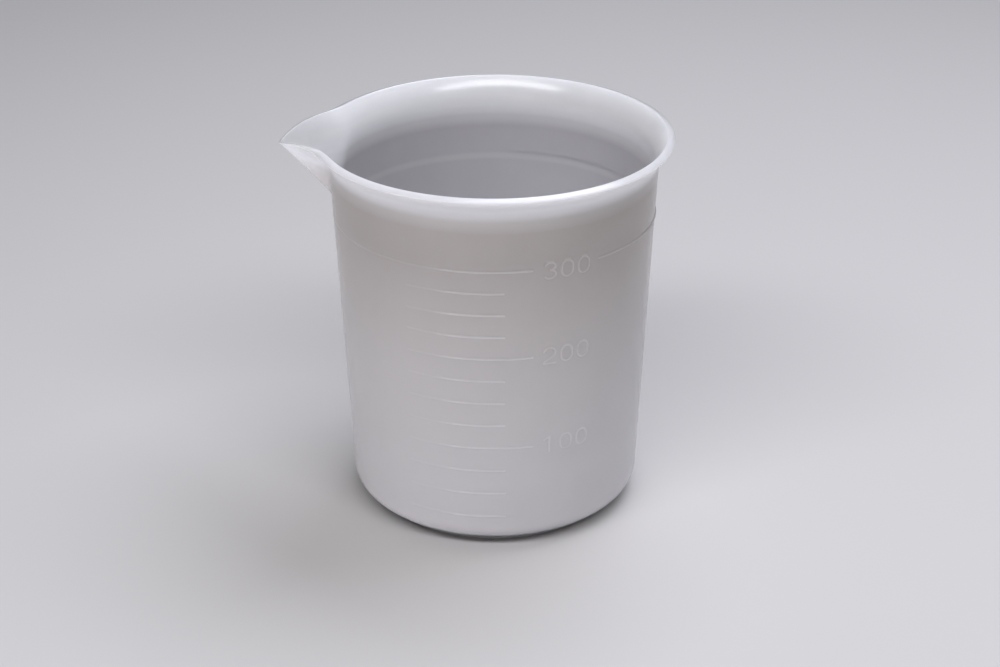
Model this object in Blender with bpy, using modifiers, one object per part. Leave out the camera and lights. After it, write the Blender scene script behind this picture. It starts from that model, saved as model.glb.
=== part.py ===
# A 300 ml low-form laboratory beaker, injection moulded in polypropylene.
# The origin is on the beaker's axis, in the plane that it stands on. +Z is up,
# the spout points along -X and the scale is on the side that faces -Y.
import math

import bmesh
import bpy
from mathutils import Vector

MM = 0.001

# Driving dimensions of the vessel
HEIGHT = 95.4 * MM  # standing plane to the rim's inner edge, the highest line
FOOT_WALL_RADIUS = 35.6 * MM  # outer wall, carried down to the standing plane
TOP_WALL_RADIUS = 40.2 * MM  # outer wall, carried up to the rim's height
WALL = 1.3 * MM  # thickness of the wall, measured level
FLARE_START = 88.0 * MM  # the wall turns outwards from this height
INNER_CORNER = 4.75 * MM  # fillet between the floor and the wall, inside
FLOOR_TOP = 2.95 * MM  # inside floor above the standing plane

# The rim is the flared wall cut off almost level. Its two edges are rounded.
RIM_OUTER = (43.9 * MM, 94.85 * MM)  # radius and height before rounding
RIM_INNER = (41.85 * MM, 95.5 * MM)
RIM_OUTER_ROUND = 0.3 * MM
RIM_INNER_ROUND = 0.4 * MM

# Driving dimensions of the spout
SPOUT_START = 78.3 * MM  # its underside leaves the wall at this height
SPOUT_REACH = 52.6 * MM  # radius that the underside's straight line ends at
SPOUT_DROOP = 3.4 * MM  # the tip is this much lower than the rim
SPOUT_HALF_ANGLE = math.radians(21.5)  # from its middle to where the rim is round again
SPOUT_NARROWING = 0.6  # how the angle shrinks towards the start, as a power
SPOUT_WALL = 1.6 * MM  # its wall, measured level
SPOUT_FLATNESS = 0.75  # 1 gives flat sides that meet in an edge, 0 gives a rounded spout

# Driving dimensions of the foot
FOOT_OUTER_RADIUS = 30.2 * MM
FOOT_INNER_RADIUS = 26.5 * MM
RECESS = 0.7 * MM  # underside of the floor above the standing plane
FOOT_GAP = 0.08 * MM

# Driving dimensions of the scale. Angles run from -Y towards +X, at the level of the ring.
CAPACITY_ML = 300
STEP_ML = 25
NUMERAL_STEP_ML = 100  # a long line and a number at each of these
MARK_WIDTH = 0.5 * MM
MARK_DEPTH = 0.2 * MM
MARK_GAP = 0.06 * MM
LINES_FROM = math.radians(-27.2)
SHORT_LINES_TO = math.radians(7.2)
LONG_LINES_TO = math.radians(16.9)
NUMERALS_FROM = math.radians(20.0)
NUMERALS_TO = math.radians(39.1)
RING_GAP_TO = math.radians(42.0)
NUMERAL_HEIGHT = 4.6 * MM
DIGIT_WIDENING = 1.2
RING_NUMERAL_DROP = 0.45 * MM  # the top number sits lower beside its line than the others

TURN_STEPS = 96
ARC_STEPS = 5
RIM_STEPS = 2
WALL_ROWS = 6  # rows of faces between the spout's start and the rim
FACET = 2 * math.pi / TURN_STEPS

TAPER = (TOP_WALL_RADIUS - FOOT_WALL_RADIUS) / HEIGHT
OUTER_CORNER = INNER_CORNER + WALL
ML = 1e-6  # one millilitre in cubic metres


def wall_radius(z):
    """Outer radius of the tapered wall."""
    return FOOT_WALL_RADIUS + TAPER * z


def flared_radius(z, thickness, edge):
    """Radius of the wall's outside or inside, which curves out to an edge of the rim."""
    straight = wall_radius(edge[1]) - thickness
    share = max(0.0, z - FLARE_START) / (edge[1] - FLARE_START)
    return wall_radius(z) - thickness + (edge[0] - straight) * share ** 2


def outer_radius(z):
    return flared_radius(z, 0.0, RIM_OUTER)


def inner_radius(z):
    return flared_radius(z, WALL, RIM_INNER)


def rounded(before, corner, after, radius, steps):
    """Points of the arc that rounds a corner between two straight runs."""
    corner = Vector(corner)
    back = (Vector(before) - corner).normalized()
    ahead = (Vector(after) - corner).normalized()
    half = back.angle(ahead) / 2
    centre = corner + (back + ahead).normalized() * (radius / math.sin(half))
    start = (corner + back * (radius / math.tan(half)) - centre).normalized()
    end = (corner + ahead * (radius / math.tan(half)) - centre).normalized()
    return [tuple(centre + start.slerp(end, i / steps) * radius) for i in range(steps + 1)]


def vessel_section():
    """Half section, from the middle of the inside floor over the rim to the underside."""
    underside = FLOOR_TOP + INNER_CORNER - OUTER_CORNER
    plug_radius = FOOT_INNER_RADIUS - FOOT_GAP
    rows = [SPOUT_START + (RIM_OUTER[1] - SPOUT_START) * i / WALL_ROWS for i in range(WALL_ROWS)]
    inside = [(inner_radius(z), z) for z in rows]
    outside = [(outer_radius(z), z) for z in reversed(rows)]
    floor_corner = (inner_radius(FLOOR_TOP), FLOOR_TOP)
    base_corner = (outer_radius(underside), underside)

    section = [(0.0, FLOOR_TOP)]
    section += rounded(section[0], floor_corner, inside[0], INNER_CORNER, ARC_STEPS)
    section += inside
    section += rounded(inside[-1], RIM_INNER, RIM_OUTER, RIM_INNER_ROUND, RIM_STEPS)
    section += rounded(RIM_INNER, RIM_OUTER, outside[0], RIM_OUTER_ROUND, RIM_STEPS)
    section += outside
    section += rounded(outside[-1], base_corner, (0.0, underside), OUTER_CORNER, ARC_STEPS)
    section += [(plug_radius, underside), (plug_radius, RECESS), (0.0, RECESS)]
    return section


def spout_share(angle, rise):
    """How far a point moves out to the spout's middle line, from 0 to 1."""
    if rise <= 0.0:
        return 0.0
    away = abs(angle) / (SPOUT_HALF_ANGLE * rise ** SPOUT_NARROWING)
    if away >= 1.0:
        return 0.0
    rounding = math.cos(math.pi / 2 * away) ** 2
    return SPOUT_FLATNESS * (1.0 - away) + (1.0 - SPOUT_FLATNESS) * rounding


def pull_spout(mesh):
    """Draws the wall near -X out into the spout."""
    start = wall_radius(SPOUT_START)
    for vertex in mesh.vertices:
        x, y, z = vertex.co
        rise = (z - SPOUT_START) / (RIM_OUTER[1] - SPOUT_START)
        angle = math.atan2(y, -x)
        share = spout_share(angle, min(rise, 1.0))
        if share == 0.0:
            continue
        radius = math.hypot(x, y)
        depth = (outer_radius(z) - radius) / (outer_radius(z) - inner_radius(z))
        depth = max(0.0, min(1.0, depth))
        keel = start + (SPOUT_REACH - start) * rise - depth * SPOUT_WALL
        radius += share * max(0.0, keel - radius)
        vertex.co.x = -radius * math.cos(angle)
        vertex.co.y = radius * math.sin(angle)
        vertex.co.z -= SPOUT_DROOP * rise * share ** 2.5


def new_material(name, color, roughness):
    """A plain moulded plastic."""
    material = bpy.data.materials.new(name)
    material.use_nodes = True
    shader = material.node_tree.nodes["Principled BSDF"]
    shader.inputs["Base Color"].default_value = (*color, 1.0)
    shader.inputs["Roughness"].default_value = roughness
    shader.inputs["Metallic"].default_value = 0.0
    return material


def add_piece(name, mesh, material, collection):
    """One named sub-part, shaded smooth between its sharp edges."""
    mesh.name = name
    mesh.materials.clear()
    mesh.materials.append(material)
    mesh.shade_smooth()
    mesh.set_sharp_from_angle(angle=math.radians(35.0))
    piece = bpy.data.objects.new(name, mesh)
    collection.objects.link(piece)
    return piece


def plain_mesh(source):
    """The evaluated mesh of an object, which is then removed."""
    depsgraph = bpy.context.evaluated_depsgraph_get()
    mesh = bpy.data.meshes.new_from_object(source.evaluated_get(depsgraph))
    bpy.data.objects.remove(source)
    return mesh


def turned_mesh(section, closed):
    """A section at +X turned round the Z axis."""
    outline = bpy.data.meshes.new("section")
    points = [(r, 0.0, z) for r, z in section]
    edges = [(i, i + 1) for i in range(len(points) - 1)]
    if closed:
        edges.append((len(points) - 1, 0))
    outline.from_pydata(points, edges, [])
    turned = bpy.data.objects.new("section", outline)
    bpy.context.scene.collection.objects.link(turned)
    screw = turned.modifiers.new("turn", "SCREW")
    screw.axis = "Z"
    screw.steps = TURN_STEPS
    screw.render_steps = TURN_STEPS
    screw.use_merge_vertices = True
    screw.merge_threshold = 0.00001
    return plain_mesh(turned)


def make_vessel(collection, material):
    """Floor, tapered wall, flared rim and spout."""
    mesh = turned_mesh(vessel_section(), closed=False)
    pull_spout(mesh)
    return add_piece("vessel", mesh, material, collection)


def make_foot_ring(collection, material):
    """The ring that the beaker stands on."""
    top = FLOOR_TOP + INNER_CORNER - OUTER_CORNER - FOOT_GAP
    section = [
        (FOOT_OUTER_RADIUS, top),
        (FOOT_OUTER_RADIUS, 0.0),
        (FOOT_INNER_RADIUS, 0.0),
        (FOOT_INNER_RADIUS, top),
    ]
    mesh = turned_mesh(section, closed=True)
    return add_piece("foot_ring", mesh, material, collection)


def cavity_volume(z):
    """Volume below a level: a cone's frustum, less what the corner fillet takes."""
    low = inner_radius(FLOOR_TOP)
    high = wall_radius(z) - WALL
    frustum = math.pi / 3 * (z - FLOOR_TOP) * (low * low + low * high + high * high)
    fillet_area = (1.0 - math.pi / 4) * INNER_CORNER ** 2
    return frustum - fillet_area * 2 * math.pi * (low - INNER_CORNER / 4)


def fill_level(volume_ml):
    """Height of the level at which the beaker holds a volume."""
    low, high = FLOOR_TOP, FLARE_START
    for _ in range(40):
        middle = (low + high) / 2
        if cavity_volume(middle) < volume_ml * ML:
            low = middle
        else:
            high = middle
    return (low + high) / 2


def scale_angle(angle, height):
    """Angle of a place on the scale, which keeps its distance round the narrowing wall."""
    return angle * wall_radius(fill_level(CAPACITY_ML)) / wall_radius(height)


def lay_on_wall(shape, angle, height):
    """Cuts a flat shape to the wall's facets and bends it round the wall.

    X runs round the wall, Y runs up it and Z stands out of it.
    """
    radius = wall_radius(height)
    reach = max(abs(vertex.co.x) for vertex in shape.verts)
    pitch = FACET * radius
    for i in range(-int(reach / pitch), int(reach / pitch) + 1):
        everything = shape.verts[:] + shape.edges[:] + shape.faces[:]
        bmesh.ops.bisect_plane(shape, geom=everything, plane_co=(i * pitch, 0, 0), plane_no=(1, 0, 0))
    for vertex in shape.verts:
        x, y, z = vertex.co
        turn = angle + x / radius
        out = wall_radius(height + y) + MARK_GAP + MARK_DEPTH / 2 + z
        vertex.co = (out * math.sin(turn), -out * math.cos(turn), height + y)


def make_line(name, volume, start, end, collection, material):
    """One raised line of the scale, from angle to angle, at its volume's level."""
    height = fill_level(volume)
    start, end = scale_angle(start, height), scale_angle(end, height)
    length = (end - start) * wall_radius(height)
    shape = bmesh.new()
    bmesh.ops.create_cube(shape, size=1.0)
    bmesh.ops.scale(shape, vec=(length, MARK_WIDTH, MARK_DEPTH), verts=shape.verts)
    lay_on_wall(shape, (start + end) / 2, height)
    mesh = bpy.data.meshes.new(name)
    shape.to_mesh(mesh)
    shape.free()
    return add_piece(name, mesh, material, collection)


def make_digit(name, digit, angle, height, collection, material):
    """One raised digit, centred on an angle and a height."""
    outline = bpy.data.curves.new(name, "FONT")
    outline.body = digit
    outline.resolution_u = 2
    outline.extrude = MARK_DEPTH / 2
    outline.size = NUMERAL_HEIGHT
    text = bpy.data.objects.new(name, outline)
    bpy.context.scene.collection.objects.link(text)
    mesh = plain_mesh(text)
    bpy.data.curves.remove(outline)

    shape = bmesh.new()
    shape.from_mesh(mesh)
    bmesh.ops.remove_doubles(shape, verts=shape.verts, dist=0.001 * MM)
    low = [min(vertex.co[axis] for vertex in shape.verts) for axis in (0, 1)]
    high = [max(vertex.co[axis] for vertex in shape.verts) for axis in (0, 1)]
    middle = (-(low[0] + high[0]) / 2, -(low[1] + high[1]) / 2, 0.0)
    bmesh.ops.translate(shape, vec=middle, verts=shape.verts)
    tall = NUMERAL_HEIGHT / (high[1] - low[1])
    bmesh.ops.scale(shape, vec=(tall * DIGIT_WIDENING, tall, 1.0), verts=shape.verts)
    lay_on_wall(shape, angle, height)
    shape.to_mesh(mesh)
    shape.free()
    return add_piece(name, mesh, material, collection)


def make_numeral(volume, collection, material):
    """The raised number beside a long line, one node for each digit."""
    places = ("hundreds", "tens", "units")
    pitch = (NUMERALS_TO - NUMERALS_FROM) / len(places)
    height = fill_level(volume)
    if volume == CAPACITY_ML:
        height -= RING_NUMERAL_DROP
    for i, (place, digit) in enumerate(zip(places, str(volume))):
        name = "numeral_" + str(volume) + "_" + place
        angle = scale_angle(NUMERALS_FROM + pitch * (i + 0.5), height)
        make_digit(name, digit, angle, height, collection, material)


def main():
    for old in list(bpy.data.objects):
        bpy.data.objects.remove(old)
    beaker = bpy.data.collections.new("beaker")
    bpy.context.scene.collection.children.link(beaker)

    moulded = (0.66, 0.64, 0.65)
    raised = (0.72, 0.71, 0.73)
    make_vessel(beaker, new_material("vessel_plastic", moulded, 0.35))
    make_foot_ring(beaker, new_material("foot_plastic", moulded, 0.45))

    make_line("fill_ring_300", CAPACITY_ML, RING_GAP_TO - 2 * math.pi, LONG_LINES_TO, beaker,
              new_material("ring_plastic", raised, 0.35))
    line_plastic = new_material("line_plastic", raised, 0.35)
    for volume in range(STEP_ML, CAPACITY_ML, STEP_ML):
        end = SHORT_LINES_TO if volume % NUMERAL_STEP_ML else LONG_LINES_TO
        make_line("line_" + str(volume), volume, LINES_FROM, end, beaker, line_plastic)
    for volume in range(NUMERAL_STEP_ML, CAPACITY_ML + 1, NUMERAL_STEP_ML):
        make_numeral(volume, beaker, new_material("numeral_plastic_" + str(volume), raised, 0.35))


main()
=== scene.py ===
import math

import bmesh
import bpy
from mathutils import Matrix, Vector


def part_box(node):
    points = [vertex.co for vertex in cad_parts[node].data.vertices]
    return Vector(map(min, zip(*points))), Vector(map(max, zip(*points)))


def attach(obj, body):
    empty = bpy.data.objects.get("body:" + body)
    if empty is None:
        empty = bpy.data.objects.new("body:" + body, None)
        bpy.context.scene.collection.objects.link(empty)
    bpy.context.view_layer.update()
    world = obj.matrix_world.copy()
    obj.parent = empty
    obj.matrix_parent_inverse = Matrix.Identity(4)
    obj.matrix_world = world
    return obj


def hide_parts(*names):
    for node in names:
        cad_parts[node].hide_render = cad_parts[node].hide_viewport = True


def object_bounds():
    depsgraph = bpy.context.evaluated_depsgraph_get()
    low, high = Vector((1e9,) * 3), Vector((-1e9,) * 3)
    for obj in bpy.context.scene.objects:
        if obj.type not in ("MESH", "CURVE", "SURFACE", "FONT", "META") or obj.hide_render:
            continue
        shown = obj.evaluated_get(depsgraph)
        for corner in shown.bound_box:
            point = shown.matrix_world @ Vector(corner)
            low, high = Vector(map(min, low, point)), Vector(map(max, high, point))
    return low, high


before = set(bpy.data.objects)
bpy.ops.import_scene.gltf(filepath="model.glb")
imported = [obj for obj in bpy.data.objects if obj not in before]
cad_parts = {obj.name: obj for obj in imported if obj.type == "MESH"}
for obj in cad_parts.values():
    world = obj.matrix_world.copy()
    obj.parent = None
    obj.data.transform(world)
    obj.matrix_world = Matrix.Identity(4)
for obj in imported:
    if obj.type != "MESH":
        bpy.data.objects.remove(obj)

cadLow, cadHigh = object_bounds()
mm = 0.001
print("frame loaded:", len(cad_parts), "nodes")


def linear(hexColour):
    # sRGB hex to the linear colour that shaders want
    channels = [int(hexColour[i:i + 2], 16) / 255 for i in (1, 3, 5)]
    return [c / 12.92 if c <= 0.04045 else ((c + 0.055) / 1.055) ** 2.4 for c in channels] + [1.0]


def addNode(tree, kind, settings=None, inputs=None):
    # one node, with its settings and with links or plain values on its inputs
    node = tree.nodes.new(kind)
    for name, value in (settings or {}).items():
        setattr(node, name, value)
    for key, value in (inputs or {}).items():
        if isinstance(value, bpy.types.NodeSocket):
            tree.links.new(value, node.inputs[key])
        else:
            node.inputs[key].default_value = value
    return node


# everything is one injection moulding, so it is one continuous skin
vessel = {
    "height": 95.4 * mm,
    "footWallRadius": 35.6 * mm,  # outer wall, carried down to the standing plane
    "topWallRadius": 40.2 * mm,  # and up to the rim's height
    "wallThickness": 1.3 * mm,
    "floorTop": 2.95 * mm,
    "innerCorner": 4.75 * mm,
    "flareStart": 88.0 * mm,
    "rimOuter": (43.9 * mm, 94.85 * mm),  # radius and height of the rim's edges before rounding
    "rimInner": (41.85 * mm, 95.5 * mm),
    "rimOuterRound": 0.3 * mm,
    "rimInnerRound": 0.4 * mm,
    "underside": 1.65 * mm,  # outside the foot ring
    "recess": 0.7 * mm,  # inside it
    "footRound": 0.25 * mm,
    "footRingWidth": 3.7 * mm,
}
footLow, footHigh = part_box("foot_ring")
vessel["footOuter"] = footHigh.x
vessel["footInner"] = footHigh.x - vessel["footRingWidth"]
vessel["wallTaper"] = (vessel["topWallRadius"] - vessel["footWallRadius"]) / vessel["height"]

spout = {
    "start": 78.3 * mm,
    "top": vessel["rimOuter"][1],
    "reach": 52.85 * mm,
    "droop": 3.4 * mm,
    "halfAngle": math.radians(20.5),
    "narrowing": 0.6,
    "flatness": 0.75,  # 1 gives flat sides that meet in an edge, 0 gives a rounded spout
    "shoulder": 0.32,  # soft run from the round rim into its sides
    "wall": 1.9 * mm,
    "thinning": 0.9 * mm,  # its lip is drawn thinner than the rim
    "lipDrop": 0.45 * mm,  # and the lip's inner edge comes down level with the outer one
    "tipRound": 0.07,
    "paintedGlowReach": 5.0 * mm,  # stretched this far, the spout's inside gets its full painted glow, standing in for light through its wall
    "blend": 2.6 * mm,  # soft run from the wall into the spout's underside
    "softStart": 0.2,
}

marks = {
    "height": 0.24 * mm,
    "halfWidth": 0.24 * mm,  # to the middle of the flank
    "flank": 0.2 * mm,
    "gapEnd": math.radians(42.0),  # the full ring starts again after its number
    "strokeInset": 0.25 * mm,  # centre line of a digit's stroke, inside the digit's edge
    "digitWidth": 2.9 * mm,
    "showThrough": 0.5 * mm,  # how far to each side a line is painted as showing through to the inside
    "showDrop": 1.2 * mm,  # and how much lower it is seen there
    # each line's left part hardly stands out, and nor does the ring from there to the back
    "fadeFrom": math.radians(-20.0),
    "fadeTo": math.radians(-9.0),
    "fadeLeft": 0.18,  # share of their height there
    "numbersFrom": math.radians(18.2),  # the numbers catch less light than the lines
    "numbersTo": math.radians(19.8),
    "numberTone": 0.6,
}


def wallRadius(z):
    return vessel["footWallRadius"] + vessel["wallTaper"] * z


def flaredRadius(z, thickness, edge):
    straight = wallRadius(edge[1]) - thickness
    share = max(0.0, z - vessel["flareStart"]) / (edge[1] - vessel["flareStart"])
    return wallRadius(z) - thickness + (edge[0] - straight) * share ** 2


def outerRadius(z):
    return flaredRadius(z, 0.0, vessel["rimOuter"])


def innerRadius(z):
    return flaredRadius(z, vessel["wallThickness"], vessel["rimInner"])


def rounded(before, corner, after, radius, steps):
    # the arc that rounds a corner of the section
    corner = Vector(corner)
    back = (Vector(before) - corner).normalized()
    ahead = (Vector(after) - corner).normalized()
    half = back.angle(ahead) / 2
    centre = corner + (back + ahead).normalized() * (radius / math.sin(half))
    start = (corner + back * (radius / math.tan(half)) - centre).normalized()
    end = (corner + ahead * (radius / math.tan(half)) - centre).normalized()
    return [tuple(centre + start.slerp(end, i / steps) * radius) for i in range(steps + 1)]


def spaced(start, end, step):
    # values from start to end, not counting the end
    count = max(1, round(abs(end - start) / step))
    return [start + (end - start) * i / count for i in range(count)]


# how closely the skin's rows and columns lie
division = {
    "wall": 4.0 * mm,
    "spout": 0.7 * mm,
    "behindRing": 0.35 * mm,  # inside, where the ring is painted as showing through
    "ringZone": 72.0 * mm,  # those rows start at this height
    "plainWall": 1.6 * mm,  # outside, between the marks
    "mark": 0.16 * mm,
    "markMargin": 0.25 * mm,  # the close rows reach this far past a mark
    "closest": 0.05 * mm,
    "lowestOutside": 8.5 * mm,
    "belowRim": 0.4 * mm,  # left free for the rim's rounding
    "floorReach": 28.0 * mm,
    "recessReach": 22.0 * mm,
    "recessStep": 5.5 * mm,
    "turn": 3.0,  # degrees
    # from, to and step in degrees: the spout, the lines' ends and the digits
    "closeTurns": ((-118, -62, 0.9), (-30, -26.5, 0.5), (6.8, 8.4, 0.25), (16.5, 18.5, 0.25),
                   (19.8, 41.2, 0.27), (41.4, 42.8, 0.25)),
}


def markRows(low, high):
    # heights down the scale: close together over each line and each number
    close = []
    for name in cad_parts:
        if name.startswith(("line_", "fill_ring", "numeral_")):
            bottom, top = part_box(name)
            close.append((bottom.z - division["markMargin"], top.z + division["markMargin"]))
    rows, z = [], high
    while z > low:
        rows.append(z)
        near = any(bottom <= z <= top for bottom, top in close)
        step = division["mark"] if near else division["plainWall"]
        below = [top for bottom, top in close if top < z]
        if not near and below:
            step = min(step, max(z - max(below), division["closest"]))
        z -= step
    return rows


def sectionPoints():
    # from the middle of the inside floor, over the rim, to the middle of the underside
    underside, recess, footRound = vessel["underside"], vessel["recess"], vessel["footRound"]
    start, ringZone = spout["start"], division["ringZone"]
    floorCorner = (innerRadius(vessel["floorTop"]), vessel["floorTop"])
    baseCorner = (outerRadius(underside), underside)
    high = spaced(start, vessel["rimOuter"][1] - division["belowRim"], division["spout"])
    low = spaced(vessel["floorTop"] + vessel["innerCorner"] + mm, ringZone, division["wall"])
    nearRing = spaced(ringZone, start, division["behindRing"])
    inside = [(innerRadius(z), z) for z in low + nearRing + high]
    outside = [(outerRadius(z), z) for z in reversed(high)]
    scaleRows = markRows(division["lowestOutside"], start - division["spout"])
    outside += [(outerRadius(z), z) for z in scaleRows]
    footTop, footBase = (vessel["footOuter"], underside), (vessel["footOuter"], 0.0)
    ringBase, ringTop = (vessel["footInner"], 0.0), (vessel["footInner"], recess)

    section = [(r, vessel["floorTop"]) for r in spaced(0.0, division["floorReach"], division["wall"])]
    section += rounded(section[0], floorCorner, inside[0], vessel["innerCorner"], 10)
    section += inside
    section += rounded(inside[-1], vessel["rimInner"], vessel["rimOuter"], vessel["rimInnerRound"], 6)
    section += rounded(vessel["rimInner"], vessel["rimOuter"], outside[0], vessel["rimOuterRound"], 6)
    section += outside
    cornerRadius = vessel["innerCorner"] + vessel["wallThickness"]
    section += rounded(outside[-1], baseCorner, footTop, cornerRadius, 12)
    section += rounded(section[-1], footTop, footBase, footRound, 4)
    section += rounded(footTop, footBase, ringBase, footRound, 4)
    section += rounded(footBase, ringBase, ringTop, footRound / 2, 3)
    section += rounded(ringBase, ringTop, (0.0, recess), footRound / 2, 3)
    section += [(r, recess) for r in spaced(division["recessReach"], 0.0, division["recessStep"])]
    section.append((0.0, recess))
    return section


def columnAngles():
    # from -Y towards +X
    angles, at = [], -180.0
    for start, end, step in division["closeTurns"]:
        angles += spaced(at, start, division["turn"]) + spaced(start, end, step)
        at = end
    angles += spaced(at, 180.0, division["turn"])
    return [math.radians(a) for a in angles]


def onWall(angle, radius, z):
    return (radius * math.sin(angle), -radius * math.cos(angle), z)


def turnedSkin(name):
    # the section carried round the axis, with each point's depth in the wall kept as an attribute
    section, angles = sectionPoints(), columnAngles()
    shape = bmesh.new()
    depth = shape.verts.layers.float.new("depth")

    def addPoint(angle, r, z):
        point = shape.verts.new(onWall(angle, r, z))
        thickness = outerRadius(z) - innerRadius(z)
        point[depth] = min(1.0, max(0.0, (outerRadius(z) - r) / thickness))
        return point

    top, bottom = addPoint(0.0, *section[0]), addPoint(0.0, *section[-1])
    columns = [[addPoint(angle, r, z) for r, z in section[1:-1]] for angle in angles]
    for i, column in enumerate(columns):
        following = columns[(i + 1) % len(columns)]
        shape.faces.new((top, column[0], following[0]))
        shape.faces.new((bottom, following[-1], column[-1]))
        for j in range(len(column) - 1):
            shape.faces.new((column[j], column[j + 1], following[j + 1], following[j]))
    mesh = bpy.data.meshes.new(name)
    shape.to_mesh(mesh)
    shape.free()
    skin = bpy.data.objects.new(name, mesh)
    bpy.context.scene.collection.objects.link(skin)
    print("skin:", len(section), "rows by", len(angles), "columns")
    return skin


def ellipseArc(x, y, width, height, start, end, steps=14):
    turns = [math.radians(start + (end - start) * i / steps) for i in range(steps + 1)]
    return [(x + width * math.cos(a), y + height * math.sin(a)) for a in turns]


def digitStroke(digit, w, h):
    # a single-stroke digit in a box w wide and h tall
    if digit == "0":
        upper = ellipseArc(w / 2, h - 0.55 * w, w / 2, 0.55 * w, 0, 180)
        lower = ellipseArc(w / 2, 0.55 * w, w / 2, 0.55 * w, 180, 360)
        return upper + lower
    if digit == "1":
        return [(0.04 * w, 0.8 * h), (0.5 * w, h), (0.5 * w, 0.0)]
    if digit == "2":
        crown = ellipseArc(w / 2, h - 0.46 * w, w / 2, 0.46 * w, 170, -38)
        return crown + [(0.0, 0.1 * h), (0.0, 0.0), (w, 0.0)]
    crown = ellipseArc(w / 2, 0.76 * h, 0.46 * w, 0.24 * h, 155, -85)
    belly = ellipseArc(w / 2, 0.27 * h, w / 2, 0.27 * h, 85, -155)
    return crown + belly


def centreLines():
    # each line and digit follows the place of its own CAD node
    lines = []
    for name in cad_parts:
        low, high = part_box(name)
        z = (low.z + high.z) / 2
        radius = wallRadius(z)
        if name.startswith("line_"):
            start, end = math.asin(low.x / radius), math.asin(high.x / radius)
        elif name == "fill_ring_300":
            start, end = marks["gapEnd"] - 2 * math.pi, math.asin(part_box("line_200")[1].x / radius)
        else:
            continue
        steps = math.ceil((end - start) / math.radians(1.0))
        turns = [start + (end - start) * i / steps for i in range(steps + 1)]
        lines.append([onWall(turn, radius, z) for turn in turns])
    places = ("hundreds", "tens", "units")
    for volume in ("100", "200", "300"):
        for place, digit in zip(places, volume):
            low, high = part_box("numeral_" + volume + "_" + place)
            middle = (low + high) / 2
            turn = math.atan2(middle.x, -middle.y)
            width = marks["digitWidth"]
            height = high.z - low.z - 2 * marks["strokeInset"]
            line = []
            for x, y in digitStroke(digit, width, height):
                z = middle.z + y - height / 2
                line.append(onWall(turn + (x - width / 2) / wallRadius(z), wallRadius(z), z))
            if digit == "0":
                line.append(line[0])
            lines.append(line)
    return lines


def centreLineObject():
    points, edges = [], []
    for line in centreLines():
        first = len(points)
        points += line
        edges += [(first + i, first + i + 1) for i in range(len(line) - 1)]
    mesh = bpy.data.meshes.new("scaleCentreLines")
    mesh.from_pydata(points, edges, [])
    guide = bpy.data.objects.new("scaleCentreLines", mesh)
    bpy.context.scene.collection.objects.link(guide)
    guide.hide_render = True
    return guide


# the spout is drawn out of the rim: each step is a name, an operation and its terms
spoutSteps = [
    ("flipped", "MULTIPLY", "x", -1.0),
    ("angle", "ARCTAN2", "y", "flipped"),
    ("xSquared", "MULTIPLY", "x", "x"),
    ("radiusSquared", "MULTIPLY_ADD", "y", "y", "xSquared"),
    ("radius", "SQRT", "radiusSquared"),
    ("aboveStart", "SUBTRACT", "z", "Start"),
    ("spoutHeight", "SUBTRACT", "Top", "Start"),
    ("rise", "DIVIDE", "aboveStart", "spoutHeight"),
    ("riseUp", "SMOOTH_MAX", "rise", 0.0, "Soft Start"),
    ("riseIn", "MINIMUM", "riseUp", 1.0),
    ("narrow", "POWER", "riseIn", "Narrowing"),
    ("reachAngle", "MULTIPLY", "narrow", "Half Angle"),
    ("widest", "MAXIMUM", "reachAngle", 0.0001),
    ("absolute", "ABSOLUTE", "angle"),
    ("ratio", "DIVIDE", "absolute", "widest"),
    ("ratioSquared", "MULTIPLY", "ratio", "ratio"),
    ("tipSquared", "MULTIPLY", "Tip Round", "Tip Round"),
    ("softSquared", "ADD", "ratioSquared", "tipSquared"),
    ("soft", "SQRT", "softSquared"),
    ("away", "SMOOTH_MIN", "soft", 1.0, "Shoulder"),
    ("quarter", "MULTIPLY", "away", math.pi / 2),
    ("cosine", "COSINE", "quarter"),
    ("bell", "MULTIPLY", "cosine", "cosine"),
    ("ridge", "SUBTRACT", 1.0, "away"),
    ("difference", "SUBTRACT", "ridge", "bell"),
    ("share", "MULTIPLY_ADD", "difference", "Flatness", "bell"),
    ("outwards", "SUBTRACT", "Reach", "Start Radius"),
    ("line", "MULTIPLY_ADD", "outwards", "rise", "Start Radius"),
    ("inset", "MULTIPLY", "depth", "Spout Wall"),
    ("keel", "SUBTRACT", "line", "inset"),
    ("gap", "SUBTRACT", "keel", "radius"),
    ("pull", "SMOOTH_MAX", "gap", 0.0, "Blend"),
    ("pulled", "MULTIPLY_ADD", "pull", "share", "radius"),
    ("drawnOut", "MULTIPLY", "pull", "share"),
    ("stretched", "DIVIDE", "drawnOut", "Painted Glow Reach"),
    ("stretchedIn", "MINIMUM", "stretched", 1.0),
    ("drawnThin", "MULTIPLY", "stretchedIn", "depth"),
    ("shareHere", "MULTIPLY", "share", "riseIn"),
    ("early", "SQRT", "shareHere"),
    ("inner", "MULTIPLY", "early", "depth"),
    ("moved", "MULTIPLY_ADD", "inner", "Thinning", "pulled"),
    ("stretch", "DIVIDE", "moved", "radius"),
    ("newX", "MULTIPLY", "x", "stretch"),
    ("newY", "MULTIPLY", "y", "stretch"),
    ("sharp", "POWER", "share", 2.5),
    ("droopHere", "MULTIPLY", "Droop", "riseUp"),
    ("drop", "MULTIPLY", "droopHere", "sharp"),
    ("innerHigh", "MULTIPLY", "inner", "riseIn"),
    ("lipDropHere", "MULTIPLY", "innerHigh", "Lip Drop"),
    ("allDrop", "ADD", "drop", "lipDropHere"),
    ("newZ", "SUBTRACT", "z", "allDrop"),
]


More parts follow.
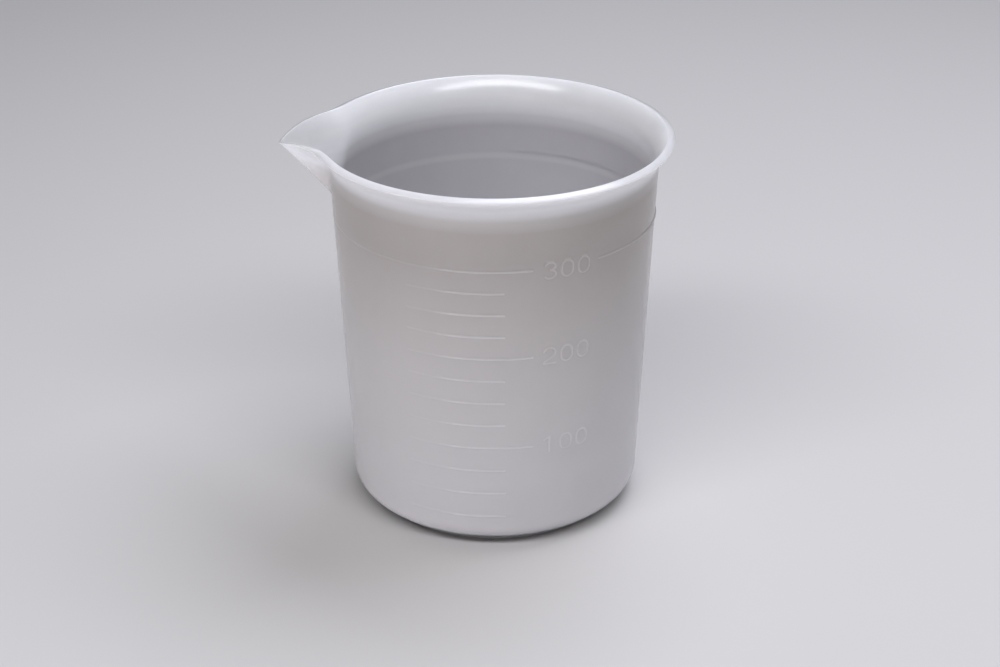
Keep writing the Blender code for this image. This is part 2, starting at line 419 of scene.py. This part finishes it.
def drawSpout(tree, values, geometry):
    # the rim's points go out along the spout, and how far they are stretched is kept for a painted glow
    # inside it
    for name, operation, *terms in spoutSteps:
        links = {i: values.get(term, term) for i, term in enumerate(terms)}
        values[name] = addNode(tree, "ShaderNodeMath", {"operation": operation}, links).outputs[0]
    drawn = addNode(tree, "ShaderNodeCombineXYZ", None,
                    {"X": values["newX"], "Y": values["newY"], "Z": values["newZ"]})
    thinned = addNode(tree, "GeometryNodeStoreNamedAttribute", {"data_type": "FLOAT", "domain": "POINT"},
                      {"Geometry": geometry, "Name": "drawnThin", "Value": values["drawnThin"]})
    poured = addNode(tree, "GeometryNodeSetPosition", None,
                     {"Geometry": thinned.outputs[0], "Position": drawn.outputs[0]})
    return poured.outputs[0]


def shapeRelief(tree, values, lines):
    # 1 on a line or a digit, sloping to 0 beside it, and lower towards the left
    nearest = addNode(tree, "GeometryNodeProximity", {"target_element": "EDGES"}, {0: lines})
    halfFlank = addNode(tree, "ShaderNodeMath", {"operation": "MULTIPLY"},
                        {0: values["Mark Flank"], 1: 0.5})
    flankStart = addNode(tree, "ShaderNodeMath", {"operation": "SUBTRACT"},
                         {0: values["Mark Half Width"], 1: halfFlank.outputs[0]})
    flankEnd = addNode(tree, "ShaderNodeMath", {"operation": "ADD"},
                       {0: values["Mark Half Width"], 1: halfFlank.outputs[0]})
    crest = addNode(tree, "ShaderNodeMapRange", {"interpolation_type": "SMOOTHSTEP"},
                    {"Value": nearest.outputs["Distance"], "From Min": flankStart.outputs[0],
                     "From Max": flankEnd.outputs[0], "To Min": 1.0, "To Max": 0.0})
    faded = addNode(tree, "ShaderNodeMapRange", {"interpolation_type": "SMOOTHSTEP"},
                    {"Value": values["turn"], "From Min": values["Fade From"],
                     "From Max": values["Fade To"], "To Min": values["Fade Left"], "To Max": 1.0})
    relief = addNode(tree, "ShaderNodeMath", {"operation": "MULTIPLY"},
                     {0: crest.outputs[0], 1: faded.outputs[0]})
    return relief.outputs[0]


def paintedSeenThrough(tree, values, lines):
    # painted light: how strongly a line is painted as showing through to the inside of the wall, as light
    # through the wall would show it
    drop = addNode(tree, "ShaderNodeCombineXYZ", None, {"Z": values["Show Drop"]})
    lookUp = addNode(tree, "ShaderNodeVectorMath", {"operation": "ADD"},
                     {0: values["position"], 1: drop.outputs[0]})
    across = addNode(tree, "GeometryNodeProximity", {"target_element": "EDGES"},
                     {0: lines, "Sample Position": lookUp.outputs[0]})
    behind = addNode(tree, "ShaderNodeMath", {"operation": "ADD"},
                     {0: values["Wall"], 1: values["Painted Show Through"]})
    glow = addNode(tree, "ShaderNodeMapRange", {"interpolation_type": "SMOOTHSTEP"},
                   {"Value": across.outputs["Distance"], "From Min": values["Wall"],
                    "From Max": behind.outputs[0], "To Min": 1.0, "To Max": 0.0})
    inside = addNode(tree, "ShaderNodeMath", {"operation": "MULTIPLY"},
                     {0: glow.outputs[0], 1: values["depth"]})
    return inside.outputs[0]


def raiseScale(tree, values, lines, geometry):
    ahead = addNode(tree, "ShaderNodeMath", {"operation": "MULTIPLY"}, {0: values["y"], 1: -1.0})
    turn = addNode(tree, "ShaderNodeMath", {"operation": "ARCTAN2"}, {0: values["x"], 1: ahead.outputs[0]})
    values["turn"] = turn.outputs[0]
    relief = shapeRelief(tree, values, lines)
    fainter = addNode(tree, "ShaderNodeMapRange", {"interpolation_type": "SMOOTHSTEP"},
                      {"Value": turn.outputs[0], "From Min": values["Numbers From"],
                       "From Max": values["Numbers To"], "To Min": 1.0, "To Max": values["Number Tone"]})
    tone = addNode(tree, "ShaderNodeMath", {"operation": "MULTIPLY"}, {0: relief, 1: fainter.outputs[0]})
    # the marks' painted highlight and their painted show-through are kept for the colour
    for name, value in (("raised", tone.outputs[0]), ("showThrough", paintedSeenThrough(tree, values, lines))):
        kept = addNode(tree, "GeometryNodeStoreNamedAttribute", {"data_type": "FLOAT", "domain": "POINT"},
                       {"Geometry": geometry, "Name": name, "Value": value})
        geometry = kept.outputs[0]
    lift = addNode(tree, "ShaderNodeMath", {"operation": "MULTIPLY"}, {0: relief, 1: values["Mark Height"]})
    outwards = addNode(tree, "ShaderNodeVectorMath", {"operation": "SCALE"},
                       {0: addNode(tree, "GeometryNodeInputNormal").outputs[0],
                        "Scale": lift.outputs[0]})
    scaled = addNode(tree, "GeometryNodeSetPosition", None,
                     {"Geometry": geometry, "Offset": outwards.outputs[0]})
    return scaled.outputs[0]


def beakerTree(numbers):
    tree = bpy.data.node_groups.new("beakerShape", "GeometryNodeTree")
    kinds = {"Geometry": "NodeSocketGeometry", "Centre Lines": "NodeSocketObject",
             "Material": "NodeSocketMaterial"}
    for name in ["Geometry", *numbers, "Centre Lines", "Material"]:
        kind = kinds.get(name, "NodeSocketFloat")
        tree.interface.new_socket(name=name, in_out="INPUT", socket_type=kind)
    tree.interface.new_socket(name="Geometry", in_out="OUTPUT", socket_type="NodeSocketGeometry")
    given = addNode(tree, "NodeGroupInput")
    position = addNode(tree, "GeometryNodeInputPosition").outputs[0]
    place = addNode(tree, "ShaderNodeSeparateXYZ", None, {0: position})
    depth = addNode(tree, "GeometryNodeInputNamedAttribute", {"data_type": "FLOAT"}, {"Name": "depth"})
    values = {name: given.outputs[name] for name in numbers}
    values.update(position=position, x=place.outputs["X"], y=place.outputs["Y"], z=place.outputs["Z"],
                  depth=depth.outputs["Attribute"])

    lines = addNode(tree, "GeometryNodeObjectInfo", None, {"Object": given.outputs["Centre Lines"]})
    poured = drawSpout(tree, values, given.outputs["Geometry"])
    scaled = raiseScale(tree, values, lines.outputs["Geometry"], poured)
    smooth = addNode(tree, "GeometryNodeSetShadeSmooth", None, {"Geometry": scaled})
    real = addNode(tree, "GeometryNodeRealizeInstances", None, {"Geometry": smooth.outputs[0]})
    coated = addNode(tree, "GeometryNodeSetMaterial", None,
                     {"Geometry": real.outputs[0], "Material": given.outputs["Material"]})
    addNode(tree, "NodeGroupOutput", None, {"Geometry": coated.outputs[0]})
    return tree


def makeBeaker(material):
    skin, guide = turnedSkin("beakerShell"), centreLineObject()
    numbers = {
        "Start": spout["start"], "Top": spout["top"], "Start Radius": wallRadius(spout["start"]),
        "Reach": spout["reach"], "Droop": spout["droop"], "Half Angle": spout["halfAngle"],
        "Narrowing": spout["narrowing"], "Spout Wall": spout["wall"], "Tip Round": spout["tipRound"],
        "Blend": spout["blend"], "Flatness": spout["flatness"], "Shoulder": spout["shoulder"],
        "Thinning": spout["thinning"], "Lip Drop": spout["lipDrop"], "Soft Start": spout["softStart"],
        "Painted Glow Reach": spout["paintedGlowReach"], "Wall": vessel["wallThickness"],
        "Mark Height": marks["height"], "Mark Half Width": marks["halfWidth"],
        "Mark Flank": marks["flank"], "Painted Show Through": marks["showThrough"],
        "Show Drop": marks["showDrop"], "Fade From": marks["fadeFrom"], "Fade To": marks["fadeTo"],
        "Fade Left": marks["fadeLeft"], "Numbers From": marks["numbersFrom"],
        "Numbers To": marks["numbersTo"], "Number Tone": marks["numberTone"],
    }
    tree = beakerTree(numbers)
    shaping = skin.modifiers.new("shaping", "NODES")
    shaping.node_group = tree
    given = {**numbers, "Centre Lines": guide, "Material": material}
    for item in tree.interface.items_tree:
        if item.in_out == "INPUT" and item.name in given:
            shaping[item.identifier] = given[item.name]
    depsgraph = bpy.context.evaluated_depsgraph_get()
    finished = bpy.data.meshes.new_from_object(skin.evaluated_get(depsgraph))
    skin.modifiers.remove(shaping)
    skin.data = finished
    bpy.data.objects.remove(guide)
    print("beaker:", len(finished.polygons), "faces")
    return skin


plastic = {
    # natural polypropylene is milky white; the ramps by height are painted light and shade: a painted glow
    # at the flare and rim, painted shade deep inside and just below the flare outside, the outside painted
    # lighter towards the floor as if lit from it, and the lip's edge painted a little darker against its
    # highlight; heights in mm, up to the ramps' top
    "rampTop": 100.0,
    "outside": ((0, "#DED5D4"), (20, "#D4CDCB"), (48, "#BAB5B2"), (78, "#938D89"), (85.5, "#938D88"),
                (88.5, "#ACA7A5"), (91.5, "#F0EEF0"), (93.8, "#F2F0F3"), (94.9, "#D4D2D8")),
    "inside": ((0, "#AEAFB6"), (83, "#8A8B90"), (86, "#B4B4B9"), (88.5, "#EFEFF4"), (91, "#FFFFFF"),
               (95.5, "#F6F6FA")),
    # share of white in the painted show-through, a paler band inside behind each line
    "showThrough": 0.05,
    "cloudSize": 18 * mm,
    "cloudShare": 0.06,
    "cloud": "#F2E8E6",
    # painted highlight on the scale's lines and digits, where their edges would catch the light
    "crest": "#FFFFFF",
    "crestLow": 0.34,  # share of the painted highlight on a line near the floor
    "crestHigh": 0.17,  # and at the scale's top
    "scaleTop": 80 * mm,
    # painted glow: the colour of the inside of the drawn-out spout
    "thin": "#F6F6FE",
    "paintedGlowShare": 0.7,
    "peelSize": 1.4 * mm,  # the mould's polish leaves a very fine orange peel
    "peelHeight": 0.03 * mm,
    "peelStrength": 0.15,
    "scatter": 12.0 * mm,
    "scatterRatio": (1.0, 0.95, 0.9),  # red light goes furthest
    "roughness": 0.18,
    "ior": 1.49,
}


def mouldedPolypropylene():
    # natural polypropylene, injection moulded in a polished tool: light goes in and comes out again a few
    # millimetres away, so thin edges glow, and the skin has a soft, broad gloss. The glow at the rim and in
    # the spout is also painted into the base colour
    material = bpy.data.materials.new("mouldedPolypropylene")
    material.use_nodes = True
    tree = material.node_tree
    shader = tree.nodes["Principled BSDF"]
    place = addNode(tree, "ShaderNodeTexCoord").outputs["Object"]
    height = addNode(tree, "ShaderNodeSeparateXYZ", None, {0: place}).outputs["Z"]
    # painted light and shade by height, one ramp for the outside of the wall and one for the inside
    share = addNode(tree, "ShaderNodeMapRange", None,
                    {"Value": height, "From Max": plastic["rampTop"] * mm})
    sides = []
    for stops in (plastic["outside"], plastic["inside"]):
        ramp = addNode(tree, "ShaderNodeValToRGB", None, {"Fac": share.outputs[0]})
        points = ramp.color_ramp.elements
        while len(points) < len(stops):
            points.new(1.0)
        for point, (z, colour) in zip(points, stops):
            point.position = z / plastic["rampTop"]
            point.color = linear(colour)
        sides.append(ramp.outputs["Color"])
    depth = addNode(tree, "ShaderNodeAttribute", {"attribute_name": "depth"})
    tone = addNode(tree, "ShaderNodeMix", {"data_type": "RGBA"},
                   {"Factor": depth.outputs["Fac"], 6: sides[0], 7: sides[1]})
    # painted glow: the inside of the drawn-out spout is painted paler
    drawn = addNode(tree, "ShaderNodeAttribute", {"attribute_name": "drawnThin"})
    paintedGlowAmount = addNode(tree, "ShaderNodeMath", {"operation": "MULTIPLY"},
                       {0: drawn.outputs["Fac"], 1: plastic["paintedGlowShare"]})
    pale = addNode(tree, "ShaderNodeMix", {"data_type": "RGBA"},
                   {"Factor": paintedGlowAmount.outputs[0], 6: tone.outputs[2], 7: linear(plastic["thin"])})
    cloud = addNode(tree, "ShaderNodeTexNoise", None,
                    {"Vector": place, "Scale": 1 / plastic["cloudSize"], "Detail": 2.0})
    cloudy = addNode(tree, "ShaderNodeMath", {"operation": "MULTIPLY"},
                     {0: cloud.outputs["Fac"], 1: plastic["cloudShare"]})
    tint = addNode(tree, "ShaderNodeMix", {"data_type": "RGBA"},
                   {"Factor": cloudy.outputs[0], 6: pale.outputs[2], 7: linear(plastic["cloud"])})
    # painted highlight: white mixed onto the marks, stronger lower down
    raised = addNode(tree, "ShaderNodeAttribute", {"attribute_name": "raised"})
    paintedHighlightShare = addNode(tree, "ShaderNodeMapRange", None,
                         {"Value": height, "From Max": plastic["scaleTop"], "To Min": plastic["crestLow"],
                          "To Max": plastic["crestHigh"]})
    crest = addNode(tree, "ShaderNodeMath", {"operation": "MULTIPLY"},
                    {0: raised.outputs["Fac"], 1: paintedHighlightShare.outputs[0]})
    through = addNode(tree, "ShaderNodeAttribute", {"attribute_name": "showThrough"})
    paler = addNode(tree, "ShaderNodeMath", {"operation": "MULTIPLY_ADD"},
                    {0: through.outputs["Fac"], 1: plastic["showThrough"], 2: crest.outputs[0]})
    colour = addNode(tree, "ShaderNodeMix", {"data_type": "RGBA"},
                     {"Factor": paler.outputs[0], 6: tint.outputs[2], 7: linear(plastic["crest"])})
    tree.links.new(colour.outputs[2], shader.inputs["Base Color"])
    peel = addNode(tree, "ShaderNodeTexNoise", None,
                   {"Vector": place, "Scale": 1 / plastic["peelSize"], "Detail": 1.0})
    bump = addNode(tree, "ShaderNodeBump", None,
                   {"Height": peel.outputs["Fac"], "Strength": plastic["peelStrength"],
                    "Distance": plastic["peelHeight"]})
    tree.links.new(bump.outputs[0], shader.inputs["Normal"])
    shader.inputs["Roughness"].default_value = plastic["roughness"]
    shader.inputs["IOR"].default_value = plastic["ior"]
    shader.inputs["Subsurface Weight"].default_value = 1.0
    shader.inputs["Subsurface Radius"].default_value = plastic["scatterRatio"]
    shader.inputs["Subsurface Scale"].default_value = plastic["scatter"]
    return material


beaker = makeBeaker(mouldedPolypropylene())
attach(beaker, "root")
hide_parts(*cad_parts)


studio = {
    "floor": "#CBCAC8",
    "floorSize": 6.0,
    "paperRoughness": 0.9,
    "air": "#FFFFFF",
    "airStrength": 0.08,
}

softboxes = {
    "keySoftbox": {"place": (0.0, -0.53, 0.72), "size": (1.2, 0.18), "watts": 6.3, "colour": "#FBFAFF"},
    "backSoftbox": {"place": (0.2, 0.22, 0.7), "size": (0.6, 0.4), "watts": 4.0, "colour": "#F0F2FF"},
    "frontFill": {"place": (-0.35, -1.05, 0.25), "size": (0.6, 0.5), "watts": 0.8, "colour": "#FFEEE2"},
}


def addFloor():
    shape = bmesh.new()
    bmesh.ops.create_grid(shape, x_segments=1, y_segments=1, size=studio["floorSize"] / 2)
    mesh = bpy.data.meshes.new("studioFloor")
    shape.to_mesh(mesh)
    shape.free()
    floor = bpy.data.objects.new("studioFloor", mesh)
    floor.location.z = cadLow.z
    bpy.context.scene.collection.objects.link(floor)
    paper = bpy.data.materials.new("seamlessPaper")  # matt backdrop paper
    paper.use_nodes = True
    shader = paper.node_tree.nodes["Principled BSDF"]
    shader.inputs["Base Color"].default_value = linear(studio["floor"])
    shader.inputs["Roughness"].default_value = studio["paperRoughness"]
    mesh.materials.append(paper)


def addSoftbox(name, settings):
    light = bpy.data.lights.new(name, "AREA")
    light.shape = "RECTANGLE"
    light.size, light.size_y = settings["size"]
    light.energy = settings["watts"]
    light.color = linear(settings["colour"])[:3]
    lamp = bpy.data.objects.new(name, light)
    lamp.location = settings["place"]
    aim = Vector((0.0, 0.0, cadHigh.z / 2)) - lamp.location
    lamp.rotation_mode = "QUATERNION"
    lamp.rotation_quaternion = aim.to_track_quat("-Z", "Y")
    bpy.context.scene.collection.objects.link(lamp)


def addWorld():
    world = bpy.data.worlds.new("studioAir")
    world.use_nodes = True
    background = world.node_tree.nodes["Background"]
    background.inputs["Color"].default_value = linear(studio["air"])
    background.inputs["Strength"].default_value = studio["airStrength"]
    bpy.context.scene.world = world


view = {
    "distance": 507.6 * mm,
    "aside": 1.34 * mm,
    "height": 286.5 * mm,
    "turn": math.radians(4.0),
    "down": math.radians(25.746),
    "roll": math.radians(-0.16),
    "lens": 80.85,
    "sensor": 36.0,
    "clip": (0.01, 50.0),
}


def addCamera():
    data = bpy.data.cameras.new("camera")
    data.lens = view["lens"]
    data.sensor_width = view["sensor"]
    data.clip_start, data.clip_end = view["clip"]
    camera = bpy.data.objects.new("camera", data)
    turn = Matrix.Rotation(view["turn"], 4, "Z")
    tilt = Matrix.Rotation(math.pi / 2 - view["down"], 4, "X")
    roll = Matrix.Rotation(view["roll"], 4, "Z")
    stand = Matrix.Translation((view["aside"], -view["distance"], view["height"]))
    camera.matrix_world = turn @ stand @ tilt @ roll
    bpy.context.scene.collection.objects.link(camera)
    bpy.context.scene.camera = camera


addFloor()
addWorld()
for name, settings in softboxes.items():
    addSoftbox(name, settings)
addCamera()
bpy.context.scene.view_settings.view_transform = "Standard"
print("studio ready")
